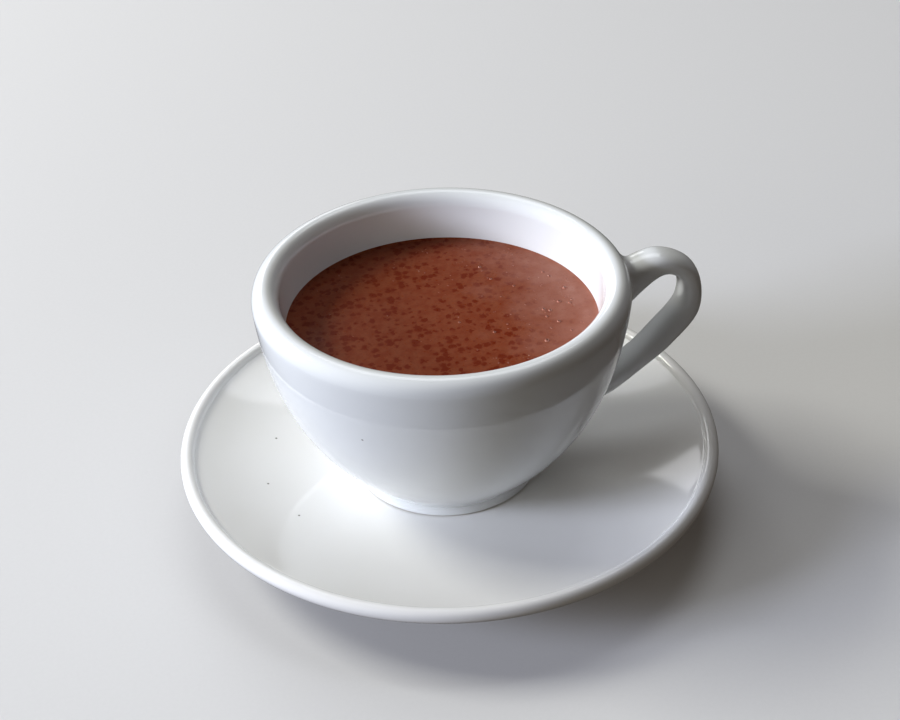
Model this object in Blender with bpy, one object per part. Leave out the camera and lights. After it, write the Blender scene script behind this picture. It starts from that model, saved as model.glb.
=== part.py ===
"""Hot chocolate in a thick-walled cup with an ear handle, standing on its saucer.

Three solids: the saucer, the cup with its handle as one piece of glazed ceramic, and the drink.
Metres, +Z up. The origin is the saucer's centre on the table, and the handle points along +X.
"""

import math

import bmesh
import bpy
from mathutils import Vector

# Saucer, heights above the table
SAUCER_RADIUS = 0.0745
SAUCER_LIP_RADIUS = 0.0020
SAUCER_LIP_HEIGHT = 0.01605
SAUCER_LIP_ARC_DEGREES = (-60, 180)
SAUCER_WELL_HEIGHT = 0.0081
SAUCER_WELL_RADIUS = 0.0300
SAUCER_SLOPE_END = (0.0696, 0.0160)
SAUCER_SLOPE_BENDS = ((0.0450, 0.0081), (0.0585, 0.0118))
SAUCER_UNDERSIDE_BENDS = ((0.0530, 0.0030), (0.0630, 0.0085))
SAUCER_FOOT_TOP = (0.0430, 0.0020)
SAUCER_FOOT_OUTER = 0.0420
SAUCER_FOOT_INNER = 0.0380
SAUCER_RECESS_EDGE = (0.0367, 0.0026)

# Cup, heights above the underside of its own foot
CONTACT_GAP = 0.0003
CUP_STAND_HEIGHT = SAUCER_WELL_HEIGHT + CONTACT_GAP
CUP_OFF_CENTRE = -0.0008
FOOT_RADIUS = 0.0255
FOOT_INNER_RADIUS = 0.0214
FOOT_TOP = (0.0248, 0.0025)
FOOT_ROUNDING = 0.0005
FOOT_RECESS_EDGE = (0.0198, 0.0018)
BOWL_BENDS = ((0.0340, 0.0117), (0.0471, 0.0236))
LIP_MIDDLE_RADIUS = 0.0463
LIP_HALF_WIDTH = 0.00365
LIP_START_HEIGHT = 0.0562
LIP_RISE = 0.0042
INSIDE_BENDS = ((0.0402, 0.0300), (0.0345, 0.0080))
INSIDE_FLOOR_HEIGHT = 0.0080

# Drink, heights above the underside of the cup's foot
DRINK_LEVEL = 0.0470
MENISCUS_RISE = 0.0004
MENISCUS_WIDTH = 0.0016

# Handle stations in its own plane: outer edge, finger side and half width, each edge as reach and height
HANDLE_STATIONS = (
    ((0.0445, 0.0538), (0.0444, 0.0355), 0.0058),
    ((0.0494, 0.0562), (0.0505, 0.0433), 0.0052),
    ((0.0599, 0.0585), (0.0598, 0.0518), 0.0050),
    ((0.0700, 0.0529), (0.0653, 0.0495), 0.0050),
    ((0.0718, 0.0398), (0.0654, 0.0420), 0.0050),
    ((0.0641, 0.0293), (0.0591, 0.0342), 0.0050),
    ((0.0557, 0.0226), (0.0522, 0.0271), 0.0050),
    ((0.0462, 0.0159), (0.0442, 0.0222), 0.0052),
    ((0.0336, 0.0110), (0.0356, 0.0206), 0.0058),
)

# Facets
TURNS = 72
DRINK_TURNS = 60
BOWL_STEPS = 14
LIP_STEPS = 8
INSIDE_STEPS = 12
SLOPE_STEPS = 6
MENISCUS_STEPS = 2
HANDLE_SIDES = 20
HANDLE_STEPS_PER_STATION = 3
MERGE_DISTANCE = 1e-6

# Shading of the solids: linear colours and roughness
SMOOTH_BELOW_ANGLE = math.radians(40)
PORCELAIN = (0.82, 0.83, 0.84)
PORCELAIN_ROUGHNESS = 0.12
CHOCOLATE = (0.19, 0.055, 0.03)
CHOCOLATE_ROUGHNESS = 0.25


def clear_scene():
    for old in list(bpy.data.objects):
        bpy.data.objects.remove(old, do_unlink=True)


def make_material(name, colour, roughness):
    material = bpy.data.materials.new(name)
    material.use_nodes = True
    shader = material.node_tree.nodes["Principled BSDF"]
    shader.inputs["Base Color"].default_value = (*colour, 1.0)
    shader.inputs["Roughness"].default_value = roughness
    return material


def bezier(start, bends, end, steps):
    """Points on a cubic curve in the plane of radius and height, without its start."""
    points = []
    for step in range(1, steps + 1):
        t = step / steps
        weights = ((1 - t) ** 3, 3 * t * (1 - t) ** 2, 3 * t * t * (1 - t), t**3)
        corners = (start, *bends, end)
        points.append(tuple(sum(w * corner[axis] for w, corner in zip(weights, corners)) for axis in (0, 1)))
    return points


def arc(centre, radii, first_degrees, last_degrees, steps):
    """Points on an elliptic arc, both ends included."""
    points = []
    for step in range(steps + 1):
        angle = math.radians(first_degrees + (last_degrees - first_degrees) * step / steps)
        points.append((centre[0] + radii[0] * math.cos(angle), centre[1] + radii[1] * math.sin(angle)))
    return points


def spline(points, t):
    """A smooth curve through the points, with t from 0 to 1 over all of them."""
    spans = len(points) - 1
    span = min(int(t * spans), spans - 1)
    f = t * spans - span
    before = points[max(span - 1, 0)]
    after = points[min(span + 2, spans)]
    mixed = []
    for a, b, c, d in zip(before, points[span], points[span + 1], after):
        mixed.append(
            0.5 * (2 * b + (c - a) * f + (2 * a - 5 * b + 4 * c - d) * f**2 + (3 * b - a - 3 * c + d) * f**3)
        )
    return Vector(mixed)


def add_object(name, mesh, material):
    mesh.materials.append(material)
    mesh.shade_smooth()
    mesh.set_sharp_from_angle(angle=SMOOTH_BELOW_ANGLE)
    made = bpy.data.objects.new(name, mesh)
    bpy.context.scene.collection.objects.link(made)
    return made


def turned_mesh(name, profile, turns):
    """Spins a profile that starts and ends on the axis into one closed body."""
    shape = bmesh.new()
    corners = [shape.verts.new((radius, 0.0, height)) for radius, height in profile]
    edges = [shape.edges.new(pair) for pair in zip(corners, corners[1:])]
    bmesh.ops.spin(
        shape,
        geom=corners + edges,
        cent=(0.0, 0.0, 0.0),
        axis=(0.0, 0.0, 1.0),
        angle=math.tau,
        steps=turns,
        use_merge=True,
    )
    bmesh.ops.remove_doubles(shape, verts=shape.verts, dist=MERGE_DISTANCE)
    bmesh.ops.recalc_face_normals(shape, faces=shape.faces)
    mesh = bpy.data.meshes.new(name)
    shape.to_mesh(mesh)
    shape.free()
    return mesh


def inside_curve():
    """The cup's inner wall from the lip down to the middle of its floor."""
    start = (LIP_MIDDLE_RADIUS - LIP_HALF_WIDTH, LIP_START_HEIGHT)
    return [start] + bezier(start, INSIDE_BENDS, (0.0, INSIDE_FLOOR_HEIGHT), INSIDE_STEPS)


def cup_profile():
    foot = [
        (0.0, FOOT_RECESS_EDGE[1]),
        FOOT_RECESS_EDGE,
        (FOOT_INNER_RADIUS, 0.0),
        (FOOT_RADIUS - FOOT_ROUNDING, 0.0),
        (FOOT_RADIUS, FOOT_ROUNDING),
        FOOT_TOP,
    ]
    shoulder = (LIP_MIDDLE_RADIUS + LIP_HALF_WIDTH, LIP_START_HEIGHT)
    bowl = bezier(foot[-1], BOWL_BENDS, shoulder, BOWL_STEPS)
    lip = arc((LIP_MIDDLE_RADIUS, LIP_START_HEIGHT), (LIP_HALF_WIDTH, LIP_RISE), 0, 180, LIP_STEPS)
    return foot + bowl[:-1] + lip + inside_curve()[1:]


def handle_mesh():
    """Elliptic sections between the handle's two edges, closed at both roots inside the wall."""
    shape = bmesh.new()
    stations = [(*outer, *inner, half_width) for outer, inner, half_width in HANDLE_STATIONS]
    steps = HANDLE_STEPS_PER_STATION * (len(stations) - 1)
    rings = []
    for step in range(steps + 1):
        section = spline(stations, step / steps)
        outer, inner, half_width = Vector(section[0:2]), Vector(section[2:4]), section[4]
        ring = []
        for side in range(HANDLE_SIDES):
            angle = math.tau * side / HANDLE_SIDES
            place = (outer + inner) / 2 + (outer - inner) / 2 * math.cos(angle)
            ring.append(shape.verts.new((place[0], half_width * math.sin(angle), place[1])))
        rings.append(ring)
    for ring, following in zip(rings, rings[1:]):
        for side in range(HANDLE_SIDES):
            beside = (side + 1) % HANDLE_SIDES
            shape.faces.new((ring[side], ring[beside], following[beside], following[side]))
    shape.faces.new(rings[0])
    shape.faces.new(rings[-1])
    bmesh.ops.recalc_face_normals(shape, faces=shape.faces)
    mesh = bpy.data.meshes.new("handle")
    shape.to_mesh(mesh)
    shape.free()
    return mesh


def make_cup(material):
    cup = add_object("cup", turned_mesh("cup", cup_profile(), TURNS), material)
    handle = add_object("handle_blank", handle_mesh(), material)
    for piece in (cup, handle):
        piece.location = (CUP_OFF_CENTRE, 0.0, CUP_STAND_HEIGHT)
    handle.hide_render = True
    handle.display_type = "WIRE"
    union = cup.modifiers.new("handle", "BOOLEAN")
    union.operation = "UNION"
    union.object = handle
    return cup


def make_saucer(material):
    foot = [
        (0.0, SAUCER_RECESS_EDGE[1]),
        SAUCER_RECESS_EDGE,
        (SAUCER_FOOT_INNER, 0.0),
        (SAUCER_FOOT_OUTER, 0.0),
        SAUCER_FOOT_TOP,
    ]
    lip_centre = (SAUCER_RADIUS - SAUCER_LIP_RADIUS, SAUCER_LIP_HEIGHT)
    lip = arc(lip_centre, (SAUCER_LIP_RADIUS, SAUCER_LIP_RADIUS), *SAUCER_LIP_ARC_DEGREES, LIP_STEPS)
    underside = bezier(foot[-1], SAUCER_UNDERSIDE_BENDS, lip[0], SLOPE_STEPS)
    well_edge = (SAUCER_WELL_RADIUS, SAUCER_WELL_HEIGHT)
    slope = [well_edge] + bezier(well_edge, SAUCER_SLOPE_BENDS, SAUCER_SLOPE_END, SLOPE_STEPS)
    profile = foot + underside[:-1] + lip + slope[::-1] + [(0.0, SAUCER_WELL_HEIGHT)]
    return add_object("saucer", turned_mesh("saucer", profile, TURNS), material)


def make_drink(material):
    """The liquid up to its level, with the small climb where it wets the wall."""
    wall = inside_curve()
    filled = []
    for above, here, below in zip(wall, wall[1:], wall[2:]):
        along = Vector(below) - Vector(above)
        inward = Vector((along[1], -along[0])).normalized()
        point = Vector(here) + inward * CONTACT_GAP
        if point[1] < DRINK_LEVEL - MENISCUS_WIDTH:
            filled.append(tuple(point))
    edge_height = DRINK_LEVEL + MENISCUS_RISE
    upper = next(pair for pair in zip(wall, wall[1:]) if pair[1][1] < edge_height)
    share = (upper[0][1] - edge_height) / (upper[0][1] - upper[1][1])
    edge_radius = upper[0][0] + share * (upper[1][0] - upper[0][0]) - CONTACT_GAP
    climb = []
    for step in range(MENISCUS_STEPS + 1):
        share = step / MENISCUS_STEPS
        climb.append((edge_radius - MENISCUS_WIDTH * share, edge_height - MENISCUS_RISE * (2 - share) * share))
    profile = [(0.0, DRINK_LEVEL)] + climb[::-1] + filled + [(0.0, INSIDE_FLOOR_HEIGHT + CONTACT_GAP)]
    drink = add_object("hot_chocolate", turned_mesh("hot_chocolate", profile, DRINK_TURNS), material)
    drink.location = (CUP_OFF_CENTRE, 0.0, CUP_STAND_HEIGHT)
    return drink


def main():
    clear_scene()
    porcelain = make_material("glazed_porcelain", PORCELAIN, PORCELAIN_ROUGHNESS)
    saucer_glaze = make_material("saucer_porcelain", PORCELAIN, PORCELAIN_ROUGHNESS)
    chocolate = make_material("hot_chocolate_liquid", CHOCOLATE, CHOCOLATE_ROUGHNESS)
    make_saucer(saucer_glaze)
    make_cup(porcelain)
    make_drink(chocolate)


main()
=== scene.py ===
"""The looks of a hot chocolate: a thick white cup with its drink, on its saucer.

Metres, +Z up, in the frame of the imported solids: +X points from the cup to its handle.
"""

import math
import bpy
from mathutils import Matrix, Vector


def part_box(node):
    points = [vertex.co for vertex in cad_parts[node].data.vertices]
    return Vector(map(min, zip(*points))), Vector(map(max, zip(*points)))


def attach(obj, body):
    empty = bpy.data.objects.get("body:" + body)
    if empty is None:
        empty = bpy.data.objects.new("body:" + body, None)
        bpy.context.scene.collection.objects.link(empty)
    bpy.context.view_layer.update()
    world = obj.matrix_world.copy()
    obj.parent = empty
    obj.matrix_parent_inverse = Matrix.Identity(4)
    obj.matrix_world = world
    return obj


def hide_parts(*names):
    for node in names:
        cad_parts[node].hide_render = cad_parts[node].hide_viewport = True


bl_info = {
    "name": "Hot Chocolate Cup and Saucer",
    "version": (1, 0, 0),
    "blender": (4, 5, 0),
    "location": "View3D > Sidebar > Hot Chocolate",
    "description": "Makes a glazed cup, its saucer and the drink in it",
    "category": "Add Mesh",
}

import bmesh
import bpy
import numpy as np
from mathutils import Matrix, Vector

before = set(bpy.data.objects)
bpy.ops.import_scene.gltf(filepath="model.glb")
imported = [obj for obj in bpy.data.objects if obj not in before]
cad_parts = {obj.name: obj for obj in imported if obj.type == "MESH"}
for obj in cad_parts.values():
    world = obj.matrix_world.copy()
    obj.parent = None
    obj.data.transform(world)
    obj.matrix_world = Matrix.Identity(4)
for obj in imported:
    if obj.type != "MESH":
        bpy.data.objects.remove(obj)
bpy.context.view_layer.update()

# Places and sizes read from the solids
CUP_LOW, CUP_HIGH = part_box("cup")
SAUCER_LOW, SAUCER_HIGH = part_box("saucer")
_, DRINK_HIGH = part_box("hot_chocolate")
RIM_RADIUS = (CUP_HIGH.y - CUP_LOW.y) / 2
CUP_AXIS = Vector((CUP_LOW.x + RIM_RADIUS, 0.0, CUP_LOW.z))
LIP_TOP = CUP_HIGH.z - CUP_LOW.z
SAUCER_RADIUS = SAUCER_HIGH.x
SAUCER_AXIS = Vector((0.0, 0.0, SAUCER_LOW.z))

# Cup profile, as radius and height above its foot
FOOT_RADIUS = 0.0255
FOOT_INNER_RADIUS = 0.0214
FOOT_TOP = (0.0248, 0.0025)
FOOT_RECESS = 0.0018
FOOT_SOFTENING = 0.0005
BOWL_BENDS = ((0.0340, 0.0117), (0.0471, 0.0236))
LIP_HALF_WIDTH = 0.00365
LIP_RISE = 0.0042
LIP_MIDDLE = (RIM_RADIUS - LIP_HALF_WIDTH, LIP_TOP - LIP_RISE)
INSIDE_BENDS = ((0.0402, 0.0300), (0.0345, 0.0080))
INSIDE_FLOOR = (0.0, 0.0080)
LIP_STEPS = 16
BOWL_STEPS = 72
INSIDE_STEPS = 56

# Longest straight step along the flat parts of a profile, and the distance under which points are one
LONGEST_STEP = 0.003
WELD_DISTANCE = 1e-6

# Handle stations in its own plane: outer edge, finger side and half width, each edge as reach and height
HANDLE_STATIONS = (
    ((0.0445, 0.0538), (0.0444, 0.0355), 0.0058),
    ((0.0494, 0.0562), (0.0505, 0.0433), 0.0052),
    ((0.0599, 0.0585), (0.0598, 0.0518), 0.0050),
    ((0.0700, 0.0529), (0.0653, 0.0495), 0.0050),
    ((0.0718, 0.0398), (0.0654, 0.0420), 0.0050),
    ((0.0641, 0.0293), (0.0591, 0.0342), 0.0050),
    ((0.0557, 0.0226), (0.0522, 0.0271), 0.0050),
    ((0.0462, 0.0159), (0.0442, 0.0222), 0.0052),
    ((0.0336, 0.0110), (0.0356, 0.0206), 0.0058),
)
HANDLE_SQUARENESS = 0.86
HANDLE_SIDES = 48
HANDLE_RINGS = 110
FILLET_RINGS = 8
SKIN_SAMPLES = 500
HOLE_MARGIN = 0.0008
ON_THE_WALL = 1e-5
SETTLING_ROUNDS = 3

# Saucer profile, as radius and height above the table
SAUCER_LIP_RADIUS = 0.0020
SAUCER_LIP_MIDDLE = (SAUCER_RADIUS - SAUCER_LIP_RADIUS, 0.01605)
SAUCER_LIP_DEGREES = (-60, 172)
SAUCER_WELL = (0.0300, 0.0081)
SAUCER_SLOPE_BENDS = ((0.0450, 0.0081), (0.0585, 0.0118))
SAUCER_SLOPE_END = (0.0696, 0.0160)
SAUCER_EASE_BENDS = ((0.0703, 0.0162), (0.0699, 0.0161))
SAUCER_UNDERSIDE_BENDS = ((0.0530, 0.0030), (0.0630, 0.0085))
SAUCER_FOOT_INNER = 0.0380
SAUCER_FOOT_OUTER = 0.0420
SAUCER_FOOT_TOP = 0.0020
SAUCER_RECESS = 0.0026
SAUCER_SOFTENING = 0.0006
SAUCER_LIP_STEPS = 32
SAUCER_UNDERSIDE_STEPS = 32
SAUCER_SLOPE_STEPS = 40
SAUCER_EASE_STEPS = 12

# Drink, as radius and height above the cup's foot
MENISCUS_RISE = 0.0004
MENISCUS_WIDTH = 0.0016
MENISCUS_STEPS = 12
DRINK_LEVEL = DRINK_HIGH.z - CUP_LOW.z - MENISCUS_RISE
SUNK_INTO_WALL = 0.0002
LONGEST_DRINK_STEP = 0.0008

# Bubbles on the drink: place from the cup's axis, and radius
BUBBLES = (
    ((0.0355, 0.0060), 0.00062),
    ((0.0321, -0.0002), 0.00058),
    ((0.0348, -0.0015), 0.00045),
    ((0.0271, -0.0029), 0.00055),
    ((0.0286, -0.0038), 0.00050),
    ((0.0270, -0.0064), 0.00040),
    ((0.0294, -0.0095), 0.00050),
    ((0.0239, -0.0174), 0.00065),
    ((0.0117, -0.0100), 0.00045),
    ((0.0315, -0.0144), 0.00035),
    ((0.0158, 0.0225), 0.00045),
    ((0.0172, 0.0157), 0.00040),
    ((0.0320, 0.0154), 0.00042),
    ((0.0331, 0.0130), 0.00040),
    ((0.0224, 0.0106), 0.00035),
    ((0.0039, -0.0031), 0.00035),
)
DOME_FLATNESS = 0.62
FINE_SIZE_SHARES = (0.35, 1.0)

# Fine bubbles stay where a noise of this scale, with this much more for each metre towards the handle, is high enough
CLUSTER_SCALE = 160.0
CLUSTER_LEAN = 3.5
CLUSTER_THRESHOLD = 0.56

# Small iron specks under the glaze: places on the cup and on the saucer
CUP_SPECKS = ((-0.0300, -0.0373, 0.0479),)
SAUCER_SPECKS = ((-0.0463, 0.0190, 0.0102), (-0.0515, -0.0013, 0.0105), (-0.0453, -0.0161, 0.0098))
SPECK_RADIUS = 0.00042
SPECK_CORE_SHARE = 0.4
SPECK_COLOUR = "#6E6A66"

# Stretches of a noise's values that are spread over a whole range
MOST_OF_NOISE = (0.3, 0.7)
MIDDLE_OF_NOISE = (0.35, 0.65)

# Glaze: scales in waves for each metre, heights in metres above the foot
TONE_SCALE = 28.0
POOLING_SCALE = 55.0
POOLING_DEPTH = 0.00006
POOLING_STRENGTH = 0.5
GLAZE_ROUGHNESS = (0.045, 0.085)
GLAZE_IOR = 1.52
WIPED_HEIGHTS = (0.00005, 0.00025)
WIPED_COLOUR = "#D9D0C3"
WIPED_ROUGHNESS = 0.8

# Drink: scales in waves for each metre, and places towards the handle in metres
GRAIN_SCALE = 1300.0
GRAIN_SHADE = 0.8
CROWDING_SCALE = 110.0
CROWDING = (-0.12, 0.14)
THINNING_PLACES = (0.008, 0.034)
THINNING = -0.20
STIRRING_SCALE = 900.0
STIRRING_REACH = 0.0019
FLECKLESS_SHARE = 0.2
FLECK_SIZES = (0.05, 0.66)
FLECK_EDGE = 0.22
FLECK_SHARE = 0.95
FLECK_SHADE = 0.85
BLOT_SCALE = 420.0
BLOT_NOISE = (0.42, 0.66)
BLOT_SHARE = 0.45
# Paler veil on the drink towards the handle: partly fine froth, partly a painted sheen where the bright inner wall is
# mirrored in the drink
FROTH_AND_SHEEN_PLACES = (0.011, 0.037)
FROTH_AND_SHEEN_DRIFT_SCALE = 130.0
FROTH_AND_SHEEN_DRIFT = 0.008
FROTH_AND_SHEEN_SCALE = 280.0
FROTH_AND_SHEEN_SHARES = (0.66, 1.0)
DRINK_ROUGHNESS = (0.26, 0.38)
SKIN_DEPTH = 0.00003
SKIN_STRENGTH = 0.4
DRINK_IOR = 1.34
DRINK_SPECULAR = 0.14

# Film over a bubble: where the dark middle of painted shade begins and is full, as shares of the dome's height; round
# it a paler ring, partly froth and partly painted sheen
FILM_MIDDLE = (0.62, 0.92)
FILM_RING_PAINTED_SHEEN = 1.5
FILM_MIDDLE_PAINTED_SHADE = 0.45
FILM_ROUGHNESS = 0.1
FILM_IOR = 1.36

# Camera, in axes where X is the photograph's right and Y leads away from the viewer
VIEW_TURN = math.radians(12.2)
CAMERA_PLACE = Vector((0.00168, -0.38079, 0.30562))
CAMERA_ELEVATION = math.radians(34.71)
CAMERA_ROLL = math.radians(-1.63)
CAMERA_LENS_MM = 68.52
SENSOR_MM = 36.0
CAMERA_NEAR = 0.01

# Soft lights: azimuth and elevation in degrees as seen in the photograph, width and height, watts,
# colour, and whether the glaze mirrors them
LIGHT_DISTANCE = 2.2
LIGHTS = {
    "window": (159, 38, (0.9, 0.55), 31.0, "#FFFEF6", True),
    "low_front_left": (197, 17, (0.7, 0.5), 51.0, "#E4EBFF", False),
    "front_left": (225, 20, (1.2, 0.6), 7.0, "#FFFCF4", False),
    "ceiling_behind": (90, 60, (1.4, 1.0), 10.5, "#F6FAFF", True),
    "far_window": (108, 24, (0.9, 0.5), 4.0, "#FAFBFF", True),
}
AMBIENT_COLOUR = "#FFEEE0"
BOARD_HALF_WIDTH = 3.0
BOARD_PARTS = 8
BOARD_FIBRE_SCALE = 900.0
BOARD_FIBRE_SHADE = 0.985
BOARD_ROUGHNESS = 0.75


def linear(code):
    """The linear colour of an sRGB hex value."""
    channels = [int(code[i : i + 2], 16) / 255 for i in (1, 3, 5)]
    return tuple(c / 12.92 if c <= 0.04045 else ((c + 0.055) / 1.055) ** 2.4 for c in channels)


def bezier(start, bends, end, steps):
    """Points on a cubic curve, without its start."""
    t = np.linspace(0, 1, steps + 1)[1:, None]
    a, b, c, d = (np.array(p) for p in (start, *bends, end))
    return [tuple(p) for p in (1 - t) ** 3 * a + 3 * t * (1 - t) ** 2 * b + 3 * t * t * (1 - t) * c + t**3 * d]


def arc(centre, radii, first_degrees, last_degrees, steps):
    """Points on an elliptic arc, both ends included."""
    angle = np.radians(np.linspace(first_degrees, last_degrees, steps + 1))
    return [(centre[0] + radii[0] * math.cos(a), centre[1] + radii[1] * math.sin(a)) for a in angle]


def softened(corners, reach, steps=6):
    """The corners joined by straight lines, each inner corner eased over this reach."""
    line = [corners[0]]
    for before, here, after in zip(corners, corners[1:], corners[2:]):
        here = Vector(here)
        start = here + (Vector(before) - here).normalized() * reach
        end = here + (Vector(after) - here).normalized() * reach
        for step in range(steps + 1):
            t = step / steps
            line.append(tuple((1 - t) ** 2 * start + 2 * t * (1 - t) * here + t * t * end))
    return line + [corners[-1]]


def divided(line, longest):
    """The same line with no step longer than this."""
    made = [line[0]]
    for a, b in zip(line, line[1:]):
        count = max(1, math.ceil(math.dist(a, b) / longest))
        made += [tuple(Vector(a).lerp(Vector(b), i / count)) for i in range(1, count + 1)]
    return made


def outside_of_cup():
    """The cup's outer wall from the top of its foot to the lip's crest."""
    shoulder = (LIP_MIDDLE[0] + LIP_HALF_WIDTH, LIP_MIDDLE[1])
    bowl = [FOOT_TOP] + bezier(FOOT_TOP, BOWL_BENDS, shoulder, BOWL_STEPS)
    return bowl[:-1] + arc(LIP_MIDDLE, (LIP_HALF_WIDTH, LIP_RISE), 0, 90, LIP_STEPS)


def inside_of_cup():
    """The inner wall from the lip's crest down to the middle of the floor."""
    lip = arc(LIP_MIDDLE, (LIP_HALF_WIDTH, LIP_RISE), 90, 180, LIP_STEPS)
    return lip + bezier(lip[-1], INSIDE_BENDS, INSIDE_FLOOR, INSIDE_STEPS)


def cup_profile():
    """The cup's section from the middle of its recess, round the foot and over the lip, to the middle of its floor."""
    foot = [
        (0.0, FOOT_RECESS),
        (FOOT_INNER_RADIUS - FOOT_RECESS, FOOT_RECESS),
        (FOOT_INNER_RADIUS, 0.0),
        (FOOT_RADIUS, 0.0),
        FOOT_TOP,
    ]
    return divided(softened(foot, FOOT_SOFTENING), LONGEST_STEP)[:-1] + outside_of_cup() + inside_of_cup()[1:]


def saucer_profile():
    """The saucer's section from the middle of its underside, round the foot and lip, to the middle of its well."""
    foot = [
        (0.0, SAUCER_RECESS),
        (SAUCER_FOOT_INNER - SAUCER_RECESS / 2, SAUCER_RECESS),
        (SAUCER_FOOT_INNER, 0.0),
        (SAUCER_FOOT_OUTER, 0.0),
        (SAUCER_FOOT_OUTER + SAUCER_FOOT_TOP / 2, SAUCER_FOOT_TOP),
    ]
    lip = arc(SAUCER_LIP_MIDDLE, (SAUCER_LIP_RADIUS, SAUCER_LIP_RADIUS), *SAUCER_LIP_DEGREES, SAUCER_LIP_STEPS)
    underside = bezier(foot[-1], SAUCER_UNDERSIDE_BENDS, lip[0], SAUCER_UNDERSIDE_STEPS)
    slope = [SAUCER_WELL] + bezier(SAUCER_WELL, SAUCER_SLOPE_BENDS, SAUCER_SLOPE_END, SAUCER_SLOPE_STEPS)
    ease = bezier(lip[-1], SAUCER_EASE_BENDS, SAUCER_SLOPE_END, SAUCER_EASE_STEPS)
    top = ease + slope[::-1][1:] + [(0.0, SAUCER_WELL[1])]
    return divided(softened(foot, SAUCER_SOFTENING) + underside[:-1] + lip + top, LONGEST_STEP)


def drink_profile():
    """The drink's solid: down the inside of the wall, a little sunk into it, and flat on top but for its edge."""
    wall = inside_of_cup()[LIP_STEPS:]
    edge_height = DRINK_LEVEL + MENISCUS_RISE
    heights = [h for _, h in wall][::-1]
    radii = [r for r, _ in wall][::-1]
    edge_radius = float(np.interp(edge_height, heights, radii)) + SUNK_INTO_WALL
    below = [(r + SUNK_INTO_WALL, h - SUNK_INTO_WALL) for r, h in wall[::-1] if h < DRINK_LEVEL - MENISCUS_WIDTH]
    bottom = [(0.0, INSIDE_FLOOR[1] - SUNK_INTO_WALL)]
    climb = []
    for step in range(MENISCUS_STEPS + 1):
        share = step / MENISCUS_STEPS
        climb.append((edge_radius - MENISCUS_WIDTH * share, DRINK_LEVEL + MENISCUS_RISE * (1 - share) ** 2))
    top = divided([climb[-1], (0.0, DRINK_LEVEL)], LONGEST_DRINK_STEP)
    return bottom + below[1:] + climb + top[1:]


def add_node(tree, kind, inputs=None, **settings):
    """Adds a node with its settings, and links or sets its inputs."""
    node = tree.nodes.new(kind)
    for name, value in settings.items():
        setattr(node, name, value)
    for socket, value in (inputs or {}).items():
        if isinstance(value, bpy.types.NodeSocket):
            tree.links.new(value, node.inputs[socket])
        else:
            node.inputs[socket].default_value = value
    return node


def combined(tree, operation, first, *others):
    """The result of one sum, on one or more values."""
    return add_node(tree, "ShaderNodeMath", dict(enumerate((first, *others))), operation=operation).outputs[0]


def stretched(tree, value, low, high, to_low=0.0, to_high=1.0):
    """The value moved so that low to high becomes the second range, and held inside it."""
    inputs = {"Value": value, "From Min": low, "From Max": high, "To Min": to_low, "To Max": to_high}
    return add_node(tree, "ShaderNodeMapRange", inputs).outputs["Result"]


def noise(tree, vector, scale, detail):
    return add_node(tree, "ShaderNodeTexNoise", {"Vector": vector, "Scale": scale, "Detail": detail}).outputs[0]


def blended(tree, share, first, second):
    """The first colour where the share is 0 and the second where it is 1."""
    colours = [value if isinstance(value, bpy.types.NodeSocket) else (*value, 1.0) for value in (first, second)]
    mix = add_node(tree, "ShaderNodeMix", {"Factor": share, 6: colours[0], 7: colours[1]}, data_type="RGBA")
    return mix.outputs[2]


def shaded(colour, share):
    """A colour made darker or paler."""
    return tuple(channel * share for channel in colour)


def finished(tree, geometry, finish):
    """Ends a tree: real geometry with its material."""
    real = add_node(tree, "GeometryNodeRealizeInstances", {0: geometry})
    coated = add_node(tree, "GeometryNodeSetMaterial", {"Geometry": real.outputs[0], "Material": finish})
    add_node(tree, "NodeGroupOutput", {0: coated.outputs[0]})


def new_tree(name, inputs):
    """An empty Geometry Nodes tree with these named inputs, its input node and their identifiers."""
    tree = bpy.data.node_groups.new(name, "GeometryNodeTree")
    tree.is_modifier = True
    tree.interface.new_socket("Geometry", in_out="INPUT", socket_type="NodeSocketGeometry")
    tree.interface.new_socket("Geometry", in_out="OUTPUT", socket_type="NodeSocketGeometry")
    identifiers = {}
    for socket_name, kind in inputs.items():
        socket = tree.interface.new_socket(socket_name, in_out="INPUT", socket_type=kind)
        identifiers[socket_name] = socket.identifier
    return tree, add_node(tree, "NodeGroupInput"), identifiers


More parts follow.
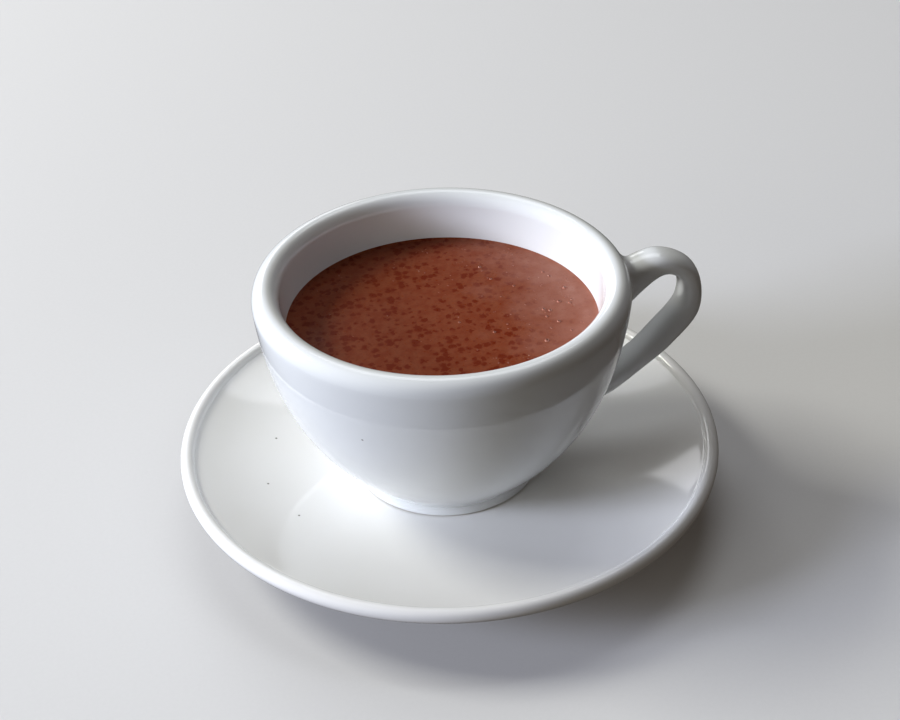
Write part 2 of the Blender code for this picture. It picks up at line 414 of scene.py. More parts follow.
def turned_tree():
    """Turns a profile, given as vertices in order from one pole to the other, round its axis."""
    tree, given, identifiers = new_tree(
        "turned_on_a_wheel",
        {"Sides": "NodeSocketInt", "Axis": "NodeSocketVector", "Finish": "NodeSocketMaterial"},
    )
    profile = given.outputs["Geometry"]
    count = add_node(tree, "GeometryNodeAttributeDomainSize", {0: profile}, component="MESH").outputs["Point Count"]
    columns = combined(tree, "ADD", given.outputs["Sides"], 1.0)
    grid = add_node(
        tree,
        "GeometryNodeMeshGrid",
        {"Size X": 1.0, "Size Y": 1.0, "Vertices X": columns, "Vertices Y": count},
    )
    place = add_node(tree, "GeometryNodeInputPosition").outputs[0]
    share = add_node(tree, "ShaderNodeVectorMath", {0: place, 1: (0.5, 0.5, 0.0)}, operation="ADD").outputs[0]
    parts = add_node(tree, "ShaderNodeSeparateXYZ", {0: share})
    row = combined(tree, "MULTIPLY", parts.outputs["Y"], combined(tree, "SUBTRACT", count, 1.0))
    index = combined(tree, "ROUND", row)
    source = add_node(tree, "GeometryNodeInputPosition").outputs[0]
    point = add_node(
        tree,
        "GeometryNodeSampleIndex",
        {"Geometry": profile, "Value": source, "Index": index},
        data_type="FLOAT_VECTOR",
        domain="POINT",
    ).outputs[0]
    found = add_node(tree, "ShaderNodeSeparateXYZ", {0: point})
    turn = combined(tree, "MULTIPLY", parts.outputs["X"], math.tau)
    across = combined(tree, "MULTIPLY", found.outputs["X"], combined(tree, "COSINE", turn))
    along = combined(tree, "MULTIPLY", found.outputs["X"], combined(tree, "SINE", turn))
    turned = add_node(tree, "ShaderNodeCombineXYZ", {"X": across, "Y": along, "Z": found.outputs["Z"]}).outputs[0]
    placed = add_node(
        tree, "ShaderNodeVectorMath", {0: turned, 1: given.outputs["Axis"]}, operation="ADD"
    ).outputs[0]
    shape = add_node(tree, "GeometryNodeSetPosition", {"Geometry": grid.outputs["Mesh"], "Position": placed})
    merged = add_node(tree, "GeometryNodeMergeByDistance", {"Geometry": shape.outputs[0], "Distance": WELD_DISTANCE})
    smooth = add_node(tree, "GeometryNodeSetShadeSmooth", {0: merged.outputs[0], "Shade Smooth": True})
    finished(tree, smooth.outputs[0], given.outputs["Finish"])
    return tree, identifiers


def grown_mesh(name, seed_mesh, tree, values):
    """Runs a tree on a mesh and keeps the result as a plain mesh."""
    grower = bpy.data.objects.new(name + "_grower", seed_mesh)
    bpy.context.scene.collection.objects.link(grower)
    modifier = grower.modifiers.new("grow", "NODES")
    modifier.node_group = tree
    for identifier, value in values.items():
        modifier[identifier] = value
    bpy.context.view_layer.update()
    evaluated = grower.evaluated_get(bpy.context.evaluated_depsgraph_get())
    mesh = bpy.data.meshes.new_from_object(evaluated)
    mesh.name = name
    grower.modifiers.remove(modifier)
    bpy.data.objects.remove(grower)
    return mesh


def turned_mesh(name, profile, axis, sides, finish):
    """A mesh made by turning a profile of radius and height round an axis."""
    outline = bpy.data.meshes.new(name + "_profile")
    outline.from_pydata([(r, 0.0, h) for r, h in profile], [(i, i + 1) for i in range(len(profile) - 1)], [])
    tree, inputs = turned_tree()
    values = {inputs["Sides"]: sides, inputs["Axis"]: axis, inputs["Finish"]: finish}
    return grown_mesh(name, outline, tree, values)


def add_piece(name, mesh, finish, node):
    """Links a finished mesh as a piece of the object, in place of the solid that it stands for."""
    mesh.materials.clear()
    mesh.materials.append(finish)
    mesh.shade_smooth()
    piece = bpy.data.objects.new(name, mesh)
    bpy.context.scene.collection.objects.link(piece)
    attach(piece, "root")
    if node:
        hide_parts(node)


def handle_sections(t):
    """The handle's stations joined by a smooth curve, read at each t from 0 to 1."""
    stations = np.array([(*outer, *inner, half) for outer, inner, half in HANDLE_STATIONS])
    spans = len(stations) - 1
    span = np.minimum((t * spans).astype(int), spans - 1)
    f = (t * spans - span)[:, None]
    a, b = stations[np.maximum(span - 1, 0)], stations[span]
    c, d = stations[span + 1], stations[np.minimum(span + 2, spans)]
    return 0.5 * (2 * b + (c - a) * f + (2 * a - 5 * b + 4 * c - d) * f**2 + (3 * b - a - 3 * c + d) * f**3)


def wall_reading(points):
    """For each point: its distance out from the cup's outer wall, the wall's normal, and its place up the profile."""
    line = np.array(outside_of_cup())
    start, step = line[:-1], np.diff(line, axis=0)
    lengths = np.linalg.norm(step, axis=1)
    radius = np.hypot(points[:, 0], points[:, 1])
    flat = np.stack([radius, points[:, 2]], 1)[:, None, :]
    share = np.clip(((flat - start) * step).sum(-1) / lengths**2, 0, 1)
    gap = flat - (start + share[..., None] * step)
    far = np.linalg.norm(gap, axis=-1)
    best = far.argmin(1)
    rows = np.arange(len(points))
    outward = np.stack([step[best, 1], -step[best, 0]], 1) / lengths[best, None]
    distance = np.copysign(far[rows, best], (gap[rows, best] * outward).sum(1))
    normal = np.stack(
        [outward[:, 0] * points[:, 0] / radius, outward[:, 0] * points[:, 1] / radius, outward[:, 1]], 1
    )
    along = np.concatenate([[0], np.cumsum(lengths)])[best] + share[rows, best] * lengths[best]
    return distance, normal, along


def settled(points, depth):
    """The points moved straight in or out until each is this far from the wall."""
    for _ in range(SETTLING_ROUNDS):
        distance, normal, _ = wall_reading(points)
        points = points + normal * (depth - distance)[:, None]
    return points


def handle_rings(fillet):
    """Rings of the handle's skin from root to root, each root spreading into a fillet that ends flat on the wall."""
    t = np.linspace(0, 1, SKIN_SAMPLES)
    section = handle_sections(t)
    angle = np.linspace(0, math.tau, HANDLE_SIDES, endpoint=False)
    middle = (section[:, None, 0:2] + section[:, None, 2:4]) / 2
    reach = (section[:, None, 0:2] - section[:, None, 2:4]) / 2
    squared = np.sign(np.cos(angle)) * np.abs(np.cos(angle)) ** HANDLE_SQUARENESS
    across = np.sign(np.sin(angle)) * np.abs(np.sin(angle)) ** HANDLE_SQUARENESS
    flat = middle + reach * squared[None, :, None]
    skin = np.stack([flat[..., 0], section[:, 4:5] * across, flat[..., 1]], -1)
    depth = wall_reading(skin.reshape(-1, 3))[0].reshape(skin.shape[:2])

    def skin_at(side, where):
        return np.stack([np.interp(where, t, skin[:, side, axis]) for axis in range(3)], -1)

    def root_rings(first_half):
        """Rings from the wall to where the fillet ends, with the place of that end along each line of skin."""
        half = slice(0, SKIN_SAMPLES // 2) if first_half else slice(SKIN_SAMPLES - 1, SKIN_SAMPLES // 2, -1)
        bends = np.linspace(0, math.pi / 2, FILLET_RINGS + 1)
        wanted = fillet * (1 - np.cos(bends))
        places = np.empty((len(bends), HANDLE_SIDES))
        for side in range(HANDLE_SIDES):
            rising = np.maximum.accumulate(depth[half, side])
            places[:, side] = np.interp(wanted, rising, t[half])
        rings = np.stack([skin_at(side, places[:, side]) for side in range(HANDLE_SIDES)], 1)
        centre = rings[0].mean(0)
        for ring, bend, level in zip(rings, bends, wanted):
            normal = wall_reading(ring)[1]
            away = ring - centre
            away -= (away * normal).sum(1)[:, None] * normal
            away /= np.linalg.norm(away, axis=1)[:, None]
            ring[:] = settled(ring + away * fillet * (1 - math.sin(bend)), np.full(len(ring), level))
        return rings, places[-1]

    upper, upper_place = root_rings(True)
    lower, lower_place = root_rings(False)
    between = []
    for share in np.linspace(0, 1, HANDLE_RINGS + 1)[1:-1]:
        places = upper_place + share * (lower_place - upper_place)
        between.append(np.array([skin_at(side, places[side]) for side in range(HANDLE_SIDES)]))
    return [*upper, *between, *lower[::-1]]


def within(places, outline):
    """Which of the flat places lie inside a closed outline."""
    inside = np.zeros(len(places), bool)
    for a, b in zip(outline, np.roll(outline, -1, axis=0)):
        crosses = (a[1] > places[:, 1]) != (b[1] > places[:, 1])
        rise = b[1] - a[1] if b[1] != a[1] else 1e-12
        inside ^= crosses & (places[:, 0] < a[0] + (places[:, 1] - a[1]) * (b[0] - a[0]) / rise)
    return inside


def unrolled(points):
    """Points on the outer wall as distance round the rim and distance up the profile."""
    return np.stack([np.arctan2(points[:, 1], points[:, 0]) * RIM_RADIUS, wall_reading(points)[2]], 1)


def cup_mesh(sides, fillet, finish):
    """The turned cup with its handle grown out of the wall as one closed skin."""
    body = turned_mesh("cup_body", cup_profile(), Vector(), sides, finish)
    rings = handle_rings(fillet)
    shape = bmesh.new()
    shape.from_mesh(body)
    wall_verts = [v for v in shape.verts if v.co.x > 0 and abs(v.co.y) < v.co.x]
    places = np.array([v.co for v in wall_verts])
    distance, _, _ = wall_reading(places)
    flat = unrolled(places)
    doomed = set()
    for ring in (rings[0], rings[-1]):
        outline = unrolled(ring)
        away = outline - outline.mean(0)
        outline = outline + away / np.linalg.norm(away, axis=1)[:, None] * HOLE_MARGIN
        inside = within(flat, outline) & (np.abs(distance) < ON_THE_WALL)
        doomed.update(v for v, hit in zip(wall_verts, inside) if hit)
    bmesh.ops.delete(shape, geom=list(doomed), context="VERTS")
    holes = [edge for edge in shape.edges if edge.is_boundary]
    grown = [[shape.verts.new(point) for point in ring] for ring in rings]
    for ring, following in zip(grown, grown[1:]):
        for side in range(HANDLE_SIDES):
            beside = (side + 1) % HANDLE_SIDES
            shape.faces.new((ring[side], ring[beside], following[beside], following[side]))
    halfway = (rings[0].mean(0)[2] + rings[-1].mean(0)[2]) / 2
    for ring, is_upper in ((grown[0], True), (grown[-1], False)):
        rim = [shape.edges.get((ring[side], ring[(side + 1) % HANDLE_SIDES])) for side in range(HANDLE_SIDES)]
        edge = [e for e in holes if (e.verts[0].co.z > halfway) == is_upper]
        bmesh.ops.triangle_fill(shape, use_beauty=True, edges=rim + edge)
    bmesh.ops.recalc_face_normals(shape, faces=shape.faces)
    open_edges = sum(not edge.is_manifold for edge in shape.edges)
    if open_edges:
        raise RuntimeError(f"the cup's skin has {open_edges} open edges where the handle grows out of it")
    bmesh.ops.translate(shape, verts=shape.verts, vec=CUP_AXIS)
    mesh = bpy.data.meshes.new("white_cup")
    shape.to_mesh(mesh)
    shape.free()
    return mesh


def bubble_tree():
    """Low domes at the given places, and finer ones scattered over the drink in clusters."""
    tree, given, identifiers = new_tree(
        "bubbles_on_drink",
        {
            "Surface Radius": "NodeSocketFloat",
            "Level": "NodeSocketFloat",
            "Fine Count": "NodeSocketFloat",
            "Fine Radius": "NodeSocketFloat",
            "Seed": "NodeSocketInt",
            "Finish": "NodeSocketMaterial",
        },
    )
    ball = add_node(tree, "GeometryNodeMeshIcoSphere", {"Radius": 1.0, "Subdivisions": 3})
    place = add_node(tree, "GeometryNodeInputPosition").outputs[0]
    low = add_node(
        tree, "ShaderNodeVectorMath", {0: place, 1: (1.0, 1.0, DOME_FLATNESS)}, operation="MULTIPLY"
    ).outputs[0]
    shaped = add_node(tree, "GeometryNodeSetPosition", {"Geometry": ball.outputs["Mesh"], "Position": low})
    rise = add_node(tree, "ShaderNodeSeparateXYZ", {0: place}).outputs["Z"]
    share = combined(tree, "DIVIDE", rise, DOME_FLATNESS)
    dome = add_node(
        tree, "GeometryNodeStoreNamedAttribute", {"Geometry": shaped.outputs[0], "Name": "dome_share", "Value": share}
    )
    size = add_node(tree, "GeometryNodeInputNamedAttribute", {"Name": "bubble_radius"}, data_type="FLOAT")
    large = add_node(
        tree,
        "GeometryNodeInstanceOnPoints",
        {"Points": given.outputs["Geometry"], "Instance": dome.outputs[0], "Scale": size.outputs["Attribute"]},
    )
    disc = add_node(
        tree,
        "GeometryNodeMeshCircle",
        {"Vertices": 64, "Radius": given.outputs["Surface Radius"]},
        fill_type="NGON",
    )
    lift = add_node(tree, "ShaderNodeCombineXYZ", {"Z": given.outputs["Level"]}).outputs[0]
    raised = add_node(tree, "GeometryNodeSetPosition", {"Geometry": disc.outputs[0], "Offset": lift})
    area = combined(tree, "MULTIPLY", given.outputs["Surface Radius"], given.outputs["Surface Radius"])
    density = combined(tree, "DIVIDE", combined(tree, "DIVIDE", given.outputs["Fine Count"], math.pi), area)
    scattered = add_node(
        tree,
        "GeometryNodeDistributePointsOnFaces",
        {"Mesh": raised.outputs[0], "Density": density, "Seed": given.outputs["Seed"]},
    )
    where = add_node(tree, "GeometryNodeInputPosition").outputs[0]
    side = add_node(tree, "ShaderNodeSeparateXYZ", {0: where}).outputs["X"]
    lean = combined(tree, "MULTIPLY", side, CLUSTER_LEAN)
    wish = combined(tree, "ADD", noise(tree, where, CLUSTER_SCALE, 1.0), lean)
    kept = combined(tree, "GREATER_THAN", wish, CLUSTER_THRESHOLD)
    chance = add_node(
        tree,
        "FunctionNodeRandomValue",
        {"Min": FINE_SIZE_SHARES[0], "Max": FINE_SIZE_SHARES[1], "Seed": given.outputs["Seed"]},
        data_type="FLOAT",
    )
    drawn = [socket for socket in chance.outputs if socket.enabled][0]
    fine_size = combined(tree, "MULTIPLY", drawn, given.outputs["Fine Radius"])
    fine = add_node(
        tree,
        "GeometryNodeInstanceOnPoints",
        {"Points": scattered.outputs["Points"], "Selection": kept, "Instance": dome.outputs[0], "Scale": fine_size},
    )
    both = add_node(tree, "GeometryNodeJoinGeometry")
    tree.links.new(large.outputs[0], both.inputs[0])
    tree.links.new(fine.outputs[0], both.inputs[0])
    finished(tree, both.outputs[0], given.outputs["Finish"])
    return tree, identifiers


def new_material(name):
    """A new material with its tree and its shader."""
    material = bpy.data.materials.new(name)
    material.use_nodes = True
    tree = material.node_tree
    return material, tree, tree.nodes["Principled BSDF"]


def add_relief(tree, shader, height, strength, depth):
    """Fine relief that the light shows and the outline doesn't."""
    bump = add_node(tree, "ShaderNodeBump", {"Height": height, "Strength": strength, "Distance": depth})
    tree.links.new(bump.outputs["Normal"], shader.inputs["Normal"])


def speck_mask(tree, coordinates, places):
    """1 inside each small speck, 0 elsewhere, with a soft edge."""
    spots = []
    for place in places:
        far = add_node(tree, "ShaderNodeVectorMath", {0: coordinates, 1: place}, operation="DISTANCE").outputs["Value"]
        spots.append(stretched(tree, far, SPECK_RADIUS * SPECK_CORE_SHARE, SPECK_RADIUS, 1.0, 0.0))
    mask = spots[0]
    for spot in spots[1:]:
        mask = combined(tree, "MAXIMUM", mask, spot)
    return mask


def glazed_porcelain(name, glaze, tint, specks, foot_height):
    """Glazed porcelain, slip cast and fired: a white body under a clear gloss glaze.

    The eye sees even white with a faint drift in tone, sharp reflections that waver slightly
    where the glaze pooled, a few iron specks, and a dull bare ring where the foot was wiped."""
    material, tree, shader = new_material(name)
    coordinates = add_node(tree, "ShaderNodeTexCoord").outputs["Object"]
    tone = stretched(tree, noise(tree, coordinates, TONE_SCALE, 2.0), *MIDDLE_OF_NOISE)
    body = blended(tree, tone, glaze, tint)
    speckled = blended(tree, speck_mask(tree, coordinates, specks), body, linear(SPECK_COLOUR))
    height = add_node(tree, "ShaderNodeSeparateXYZ", {0: coordinates}).outputs["Z"]
    bare_below, glazed_above = WIPED_HEIGHTS
    bare = stretched(tree, height, foot_height + bare_below, foot_height + glazed_above, 1.0, 0.0)
    tree.links.new(blended(tree, bare, speckled, linear(WIPED_COLOUR)), shader.inputs["Base Color"])
    pooled = noise(tree, coordinates, POOLING_SCALE, 1.0)
    gloss = stretched(tree, pooled, *MOST_OF_NOISE, *GLAZE_ROUGHNESS)
    rough = add_node(tree, "ShaderNodeMix", {"Factor": bare, "A": gloss, "B": WIPED_ROUGHNESS}, data_type="FLOAT")
    tree.links.new(rough.outputs[0], shader.inputs["Roughness"])
    add_relief(tree, shader, pooled, POOLING_STRENGTH, POOLING_DEPTH)
    shader.inputs["IOR"].default_value = GLAZE_IOR
    return material


def cocoa_flecks(tree, coordinates, side, fleck_size):
    """How far inside a ragged fleck each place is, from 0 at its edge to 1."""
    thinning = stretched(tree, side, *THINNING_PLACES, 0.0, THINNING)
    crowding = stretched(tree, noise(tree, coordinates, CROWDING_SCALE, 2.0), *MIDDLE_OF_NOISE, *CROWDING)
    crowd = combined(tree, "ADD", crowding, thinning)
    stir = add_node(tree, "ShaderNodeTexNoise", {"Vector": coordinates, "Scale": STIRRING_SCALE, "Detail": 2.0})
    stirred = add_node(
        tree,
        "ShaderNodeVectorMath",
        {0: stir.outputs[1], 1: (STIRRING_REACH,) * 3, 2: coordinates},
        operation="MULTIPLY_ADD",
    ).outputs[0]
    cells = add_node(
        tree, "ShaderNodeTexVoronoi", {"Vector": stirred, "Scale": 1 / fleck_size}, voronoi_dimensions="2D"
    )
    chance = add_node(tree, "ShaderNodeSeparateXYZ", {0: cells.outputs["Color"]}).outputs["X"]
    size = stretched(tree, chance, FLECKLESS_SHARE, 1.0, *FLECK_SIZES)
    inside = combined(tree, "SUBTRACT", combined(tree, "ADD", size, crowd), cells.outputs["Distance"])
    return stretched(tree, inside, 0.0, FLECK_EDGE)


def chocolate_drink(liquid, fleck, foam_and_sheen, fleck_size):
    """Whole milk with cocoa and melted chocolate: opaque, wet, with a thin skin.

    The eye sees warm brown with darker red-brown blotches of undissolved cocoa, fewer towards the
    handle, a fine grain, and a paler veil on the handle's side, partly fine froth and partly a painted
    sheen where the bright inner wall is mirrored."""
    material, tree, shader = new_material("milk_chocolate_drink")
    coordinates = add_node(tree, "ShaderNodeTexCoord").outputs["Object"]
    side = add_node(tree, "ShaderNodeSeparateXYZ", {0: coordinates}).outputs["X"]
    grain = stretched(tree, noise(tree, coordinates, GRAIN_SCALE, 2.0), *MOST_OF_NOISE)
    milk = blended(tree, grain, liquid, shaded(liquid, GRAIN_SHADE))
    blot = stretched(tree, noise(tree, coordinates, BLOT_SCALE, 2.0), *BLOT_NOISE)
    blotted = blended(tree, combined(tree, "MULTIPLY", blot, BLOT_SHARE), milk, fleck)
    flecks = cocoa_flecks(tree, coordinates, side, fleck_size)
    flecked = blended(tree, combined(tree, "MULTIPLY", flecks, FLECK_SHARE), blotted, shaded(fleck, FLECK_SHADE))
    # Painted sheen: a paler patchy veil towards the handle, partly fine froth and partly the bright inner wall's
    # reflection painted into the colour
    drift = stretched(tree, noise(tree, coordinates, FROTH_AND_SHEEN_DRIFT_SCALE, 3.0), *MOST_OF_NOISE, -FROTH_AND_SHEEN_DRIFT, FROTH_AND_SHEEN_DRIFT)
    froth_and_sheen_reach = stretched(tree, combined(tree, "ADD", side, drift), *FROTH_AND_SHEEN_PLACES)
    froth_and_sheen_patches = stretched(tree, noise(tree, coordinates, FROTH_AND_SHEEN_SCALE, 3.0), *MIDDLE_OF_NOISE, *FROTH_AND_SHEEN_SHARES)
    with_froth_and_sheen = blended(tree, combined(tree, "MULTIPLY", froth_and_sheen_reach, froth_and_sheen_patches), flecked, foam_and_sheen)
    tree.links.new(with_froth_and_sheen, shader.inputs["Base Color"])
    tree.links.new(stretched(tree, grain, 0.0, 1.0, *DRINK_ROUGHNESS), shader.inputs["Roughness"])
    add_relief(tree, shader, combined(tree, "ADD", grain, blot), SKIN_STRENGTH, SKIN_DEPTH)
    shader.inputs["IOR"].default_value = DRINK_IOR
    shader.inputs["Specular IOR Level"].default_value = DRINK_SPECULAR
    return material


def bubble_film(liquid, foam_and_sheen):
    """The same drink over a bubble of air: a pale ring, partly froth and partly painted sheen, round a darker middle
    of painted shade.
    """
    material, tree, shader = new_material("bubble_film")
    top = add_node(tree, "ShaderNodeAttribute", attribute_name="dome_share").outputs["Fac"]
    middle = stretched(tree, top, *FILM_MIDDLE)
    # Painted light: the ring is the froth colour made paler as a painted sheen, the middle the drink made darker as
    # painted shade
    coloured = blended(tree, middle, shaded(foam_and_sheen, FILM_RING_PAINTED_SHEEN), shaded(liquid, FILM_MIDDLE_PAINTED_SHADE))
    tree.links.new(coloured, shader.inputs["Base Color"])
    shader.inputs["Roughness"].default_value = FILM_ROUGHNESS
    shader.inputs["IOR"].default_value = FILM_IOR
    return material


def pale_table(colour):
    """Pale seamless board, matt and even."""
    material, tree, shader = new_material("pale_board")
    coordinates = add_node(tree, "ShaderNodeTexCoord").outputs["Object"]
    fibre = stretched(tree, noise(tree, coordinates, BOARD_FIBRE_SCALE, 2.0), *MOST_OF_NOISE)
    coloured = blended(tree, fibre, colour, shaded(colour, BOARD_FIBRE_SHADE))
    tree.links.new(coloured, shader.inputs["Base Color"])
    shader.inputs["Roughness"].default_value = BOARD_ROUGHNESS
    return material


class CupSettings(bpy.types.PropertyGroup):
    """Sizes and colours of the cup."""

    sides: bpy.props.IntProperty(name="Sides", description="Facets round the cup", default=256, min=24)
    root_fillet: bpy.props.FloatProperty(
        name="Root fillet",
        description="Radius where the handle grows out of the wall",
        default=0.0026,
        unit="LENGTH",
        subtype="DISTANCE",
    )
    glaze: bpy.props.FloatVectorProperty(
        name="Glaze", description="White of the glaze", default=linear("#E6E9EA"), subtype="COLOR"
    )
    tint: bpy.props.FloatVectorProperty(
        name="Tint", description="White where the glaze is thicker", default=linear("#E3E6E6"), subtype="COLOR"
    )


class SaucerSettings(bpy.types.PropertyGroup):
    """Sizes and colours of the saucer."""

    sides: bpy.props.IntProperty(name="Sides", description="Facets round the saucer", default=256, min=24)
    glaze: bpy.props.FloatVectorProperty(
        name="Glaze", description="White of the glaze", default=linear("#F1F1F0"), subtype="COLOR"
    )
    tint: bpy.props.FloatVectorProperty(
        name="Tint", description="White where the glaze is thicker", default=linear("#EEEEEC"), subtype="COLOR"
    )


class DrinkSettings(bpy.types.PropertyGroup):
    """Colours and bubbles of the drink."""

    sides: bpy.props.IntProperty(name="Sides", description="Facets round the drink", default=192, min=24)
    liquid: bpy.props.FloatVectorProperty(
        name="Liquid", description="Brown of the drink", default=linear("#864329"), subtype="COLOR"
    )
    fleck: bpy.props.FloatVectorProperty(
        name="Fleck", description="Red-brown of undissolved cocoa", default=linear("#722304"), subtype="COLOR"
    )
    # Paler brown of fine froth that is also a painted sheen on the handle's side of the drink and round each bubble
    foam_and_sheen: bpy.props.FloatVectorProperty(
        name="Foam", description="Paler brown of the finest froth", default=linear("#966354"), subtype="COLOR"
    )
    fleck_size: bpy.props.FloatProperty(
        name="Fleck size",
        description="Usual width of a cocoa fleck",
        default=0.0022,
        unit="LENGTH",
        subtype="DISTANCE",
    )
    fine_bubbles: bpy.props.FloatProperty(
        name="Fine bubbles", description="Fine bubbles before clustering", default=420.0
    )
    fine_radius: bpy.props.FloatProperty(
        name="Fine radius", description="Largest fine bubble", default=0.00026, unit="LENGTH", subtype="DISTANCE"
    )
    seed: bpy.props.IntProperty(name="Seed", description="Draw of the fine bubbles", default=7)


class StageSettings(bpy.types.PropertyGroup):
    """Floor and light."""

    floor: bpy.props.FloatVectorProperty(
        name="Floor", description="Colour of the board", default=linear("#DCDCDC"), subtype="COLOR"
    )
    brightness: bpy.props.FloatProperty(name="Brightness", description="Share of the lights' full power", default=1.0)
    ambient: bpy.props.FloatProperty(name="Ambient", description="Strength of light from all round", default=0.070)


class MakeSaucer(bpy.types.Operator):
    """Makes the glazed saucer"""

    bl_idname = "hot_chocolate.make_saucer"
    bl_label = "Make Saucer"

    def execute(self, context):
        settings = context.scene.saucer_settings
        finish = glazed_porcelain("saucer_glaze", settings.glaze, settings.tint, SAUCER_SPECKS, SAUCER_LOW.z)
        mesh = turned_mesh("white_saucer", saucer_profile(), SAUCER_AXIS, settings.sides, finish)
        add_piece("white_saucer", mesh, finish, "saucer")
        return {"FINISHED"}


class MakeCup(bpy.types.Operator):
    """Makes the glazed cup with its handle"""

    bl_idname = "hot_chocolate.make_cup"
    bl_label = "Make Cup"

    def execute(self, context):
        settings = context.scene.cup_settings
        finish = glazed_porcelain("cup_glaze", settings.glaze, settings.tint, CUP_SPECKS, CUP_LOW.z)
        mesh = cup_mesh(settings.sides, settings.root_fillet, finish)
        add_piece("white_cup", mesh, finish, "cup")
        return {"FINISHED"}


class MakeDrink(bpy.types.Operator):
    """Makes the hot chocolate up to its level"""

    bl_idname = "hot_chocolate.make_drink"
    bl_label = "Make Drink"

    def execute(self, context):
        settings = context.scene.drink_settings
        finish = chocolate_drink(settings.liquid, settings.fleck, settings.foam_and_sheen, settings.fleck_size)
        mesh = turned_mesh("chocolate", drink_profile(), CUP_AXIS, settings.sides, finish)
        add_piece("chocolate", mesh, finish, "hot_chocolate")
        return {"FINISHED"}


class MakeBubbles(bpy.types.Operator):
    """Makes the bubbles that float on the drink"""

    bl_idname = "hot_chocolate.make_bubbles"
    bl_label = "Make Bubbles"

    def execute(self, context):
        settings = context.scene.drink_settings
        finish = bubble_film(settings.liquid, settings.foam_and_sheen)
        places = bpy.data.meshes.new("bubble_places")
        level = CUP_AXIS.z + DRINK_LEVEL
        places.from_pydata([(CUP_AXIS.x + x, y, level) for (x, y), _ in BUBBLES], [], [])
        sizes = places.attributes.new("bubble_radius", "FLOAT", "POINT")
        sizes.data.foreach_set("value", [radius for _, radius in BUBBLES])
        tree, inputs = bubble_tree()
        values = {
            inputs["Surface Radius"]: LIP_MIDDLE[0] - LIP_HALF_WIDTH - 2 * MENISCUS_WIDTH,
            inputs["Level"]: level,
            inputs["Fine Count"]: settings.fine_bubbles,
            inputs["Fine Radius"]: settings.fine_radius,
            inputs["Seed"]: settings.seed,
            inputs["Finish"]: finish,
        }
        mesh = grown_mesh("chocolate_bubbles", places, tree, values)
        add_piece("chocolate_bubbles", mesh, finish, None)
        return {"FINISHED"}


def seen_direction(azimuth_degrees, elevation_degrees):
    """A direction given as it looks in the photograph: 0 is right, 90 leads away, 180 is left."""
    azimuth, elevation = math.radians(azimuth_degrees) - VIEW_TURN, math.radians(elevation_degrees)
    return Vector(
        (math.cos(elevation) * math.cos(azimuth), math.cos(elevation) * math.sin(azimuth), math.sin(elevation))
    )


def add_area_light(name, direction, size, power, colour, mirrored):
    """A soft lamp aimed at the object."""
    lamp = bpy.data.lights.new(name, "AREA")
    lamp.shape = "RECTANGLE"
    lamp.size, lamp.size_y = size
    lamp.energy = power
    lamp.color = colour
    light = bpy.data.objects.new(name, lamp)
    light.location = direction * LIGHT_DISTANCE
    light.rotation_euler = (-direction).to_track_quat("-Z", "Y").to_euler()
    light.visible_glossy = mirrored
    bpy.context.scene.collection.objects.link(light)


def add_board(colour):
    """The board under the saucer, which throws no light and no reflection onto it."""
    shape = bmesh.new()
    bmesh.ops.create_grid(shape, x_segments=BOARD_PARTS, y_segments=BOARD_PARTS, size=BOARD_HALF_WIDTH)
    mesh = bpy.data.meshes.new("board")
    shape.to_mesh(mesh)
    shape.free()
    mesh.materials.append(pale_table(colour))
    floor = bpy.data.objects.new("board", mesh)
    bpy.context.scene.collection.objects.link(floor)
    floor.visible_diffuse = False
    floor.visible_glossy = False


def add_camera():
    """The camera that took the photograph, as fitted to the edges in it."""
    lens = bpy.data.cameras.new("photo_camera")
    lens.sensor_fit = "HORIZONTAL"
    lens.sensor_width = SENSOR_MM
    lens.lens = CAMERA_LENS_MM
    lens.clip_start = CAMERA_NEAR
    camera = bpy.data.objects.new("photo_camera", lens)
    bpy.context.scene.collection.objects.link(camera)
    turned = Matrix.Rotation(-VIEW_TURN, 4, "Z")
    place = Matrix.Translation((CUP_AXIS.x, CUP_AXIS.y, 0.0))
    tilt = Matrix.Rotation(math.pi / 2 - CAMERA_ELEVATION, 4, "X") @ Matrix.Rotation(CAMERA_ROLL, 4, "Z")
    camera.matrix_world = place @ turned @ Matrix.Translation(CAMERA_PLACE) @ tilt
    bpy.context.scene.camera = camera


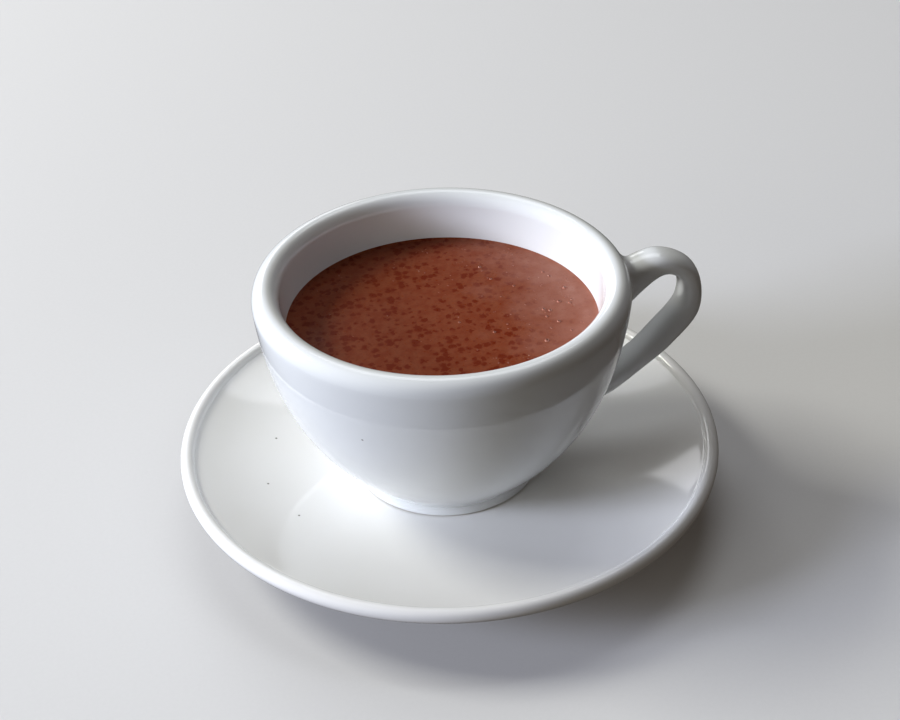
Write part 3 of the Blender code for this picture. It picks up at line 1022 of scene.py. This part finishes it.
class MakeStage(bpy.types.Operator):
    """Makes the floor, the light and the camera"""

    bl_idname = "hot_chocolate.make_stage"
    bl_label = "Make Stage"

    def execute(self, context):
        scene, settings = context.scene, context.scene.stage_settings
        add_board(settings.floor)
        for name, (azimuth, elevation, size, power, colour, mirrored) in LIGHTS.items():
            direction = seen_direction(azimuth, elevation)
            add_area_light(name, direction, size, power * settings.brightness, linear(colour), mirrored)
        world = bpy.data.worlds.new("room")
        world.use_nodes = True
        background = world.node_tree.nodes["Background"]
        background.inputs["Color"].default_value = (*linear(AMBIENT_COLOUR), 1.0)
        background.inputs["Strength"].default_value = settings.ambient
        scene.world = world
        scene.view_settings.view_transform = "Standard"
        add_camera()
        return {"FINISHED"}


class HotChocolatePanel(bpy.types.Panel):
    """Lists what can be made"""

    bl_idname = "VIEW3D_PT_hot_chocolate"
    bl_label = "Hot Chocolate"
    bl_space_type = "VIEW_3D"
    bl_region_type = "UI"
    bl_category = "Hot Chocolate"

    def draw(self, context):
        for settings_name, operators in PANEL_ROWS:
            box = self.layout.box()
            settings = getattr(context.scene, settings_name)
            for name in settings.__annotations__:
                box.prop(settings, name)
            for operator in operators:
                box.operator(operator.bl_idname)


SETTINGS = {
    "saucer_settings": SaucerSettings,
    "cup_settings": CupSettings,
    "drink_settings": DrinkSettings,
    "stage_settings": StageSettings,
}
PANEL_ROWS = (
    ("saucer_settings", (MakeSaucer,)),
    ("cup_settings", (MakeCup,)),
    ("drink_settings", (MakeDrink, MakeBubbles)),
    ("stage_settings", (MakeStage,)),
)
OPERATORS = [operator for _, operators in PANEL_ROWS for operator in operators]


def register():
    for item in (*SETTINGS.values(), *OPERATORS, HotChocolatePanel):
        bpy.utils.register_class(item)
    for name, settings in SETTINGS.items():
        setattr(bpy.types.Scene, name, bpy.props.PointerProperty(type=settings))


def unregister():
    for name in SETTINGS:
        delattr(bpy.types.Scene, name)
    for item in (HotChocolatePanel, *OPERATORS[::-1], *reversed(SETTINGS.values())):
        bpy.utils.unregister_class(item)


def main():
    register()
    bpy.ops.hot_chocolate.make_saucer()
    bpy.ops.hot_chocolate.make_cup()
    bpy.ops.hot_chocolate.make_drink()
    bpy.ops.hot_chocolate.make_bubbles()
    bpy.ops.hot_chocolate.make_stage()


if __name__ == "__main__":
    main()
